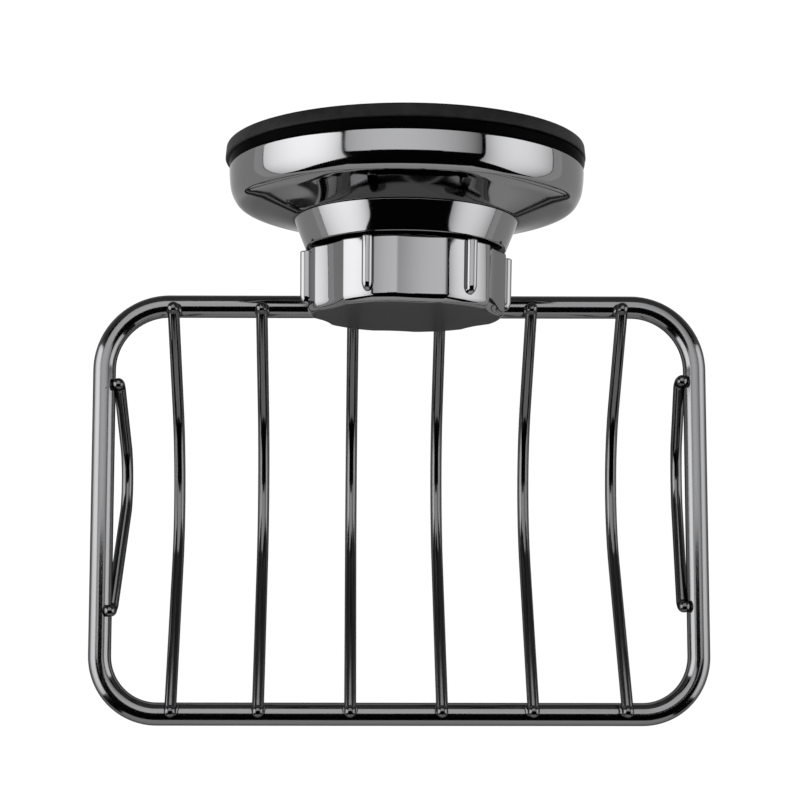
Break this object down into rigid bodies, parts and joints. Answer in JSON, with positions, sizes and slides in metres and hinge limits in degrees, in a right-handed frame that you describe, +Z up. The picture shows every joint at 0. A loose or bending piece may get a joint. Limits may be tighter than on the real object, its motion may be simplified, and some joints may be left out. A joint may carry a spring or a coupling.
{
  "type": "suction soap dish",
  "caption": "Wire soap basket that hangs on a plate clamped by a fluted screw knob to a round chrome suction cup for a smooth wall.",
  "frame": {"origin": "centre of the rubber pad's flat wall face, on the axis of the screw stud", "axes": "+Y points into the wall, so the object lies at negative Y; +X runs along the basket's long side, to the right as seen by someone facing the wall; +Z is up"},
  "size_m": [0.136, 0.1208, 0.0828],
  "materials": {
    "rubber": "matte",
    "black_plastic": "gloss",
    "dark_chrome": "polished",
    "black_nickel": "polished",
    "stainless_steel": "satin",
    "brass": "satin"
  },
  "bodies": {
    "wall_holder": {"suction_pad": "rubber", "pressure_frame": "black_plastic", "cover_dome": "dark_chrome", "neck_collar": "dark_chrome", "friction_washer": "rubber"},
    "stud": {"screw_stud": "stainless_steel"},
    "knob": {"knob_shell": "dark_chrome", "knob_nut": "brass", "bearing_washer": "stainless_steel"},
    "basket": {"hanger_plate": "stainless_steel", "outer_rail": "black_nickel", "cross_wire_1": "black_nickel", "cross_wire_2": "black_nickel", "cross_wire_3": "black_nickel", "cross_wire_4": "black_nickel", "cross_wire_5": "black_nickel", "cross_wire_6": "black_nickel", "side_wire_left": "black_nickel", "side_wire_right": "black_nickel"}
  },
  "joints": [
    {"name": "knob_turn", "type": "hinge", "parent": "wall_holder", "child": "knob", "pos_m": [0, 0, 0], "axis": [0, 1, 0], "range_deg": [0, 900]},
    {"name": "stud_draw", "type": "slide", "parent": "wall_holder", "child": "stud", "axis": [0, -1, 0], "range_m": [0, 0.0025], "deforming": ["suction_pad"]},
    {"name": "basket_swivel", "type": "hinge", "parent": "wall_holder", "child": "basket", "pos_m": [0, 0, 0], "axis": [0, 1, 0], "continuous": true}
  ],
  "couplings": [
    {"joint": "stud_draw", "follows": "knob_turn", "m_per_rad": 0.00015915}
  ]
}
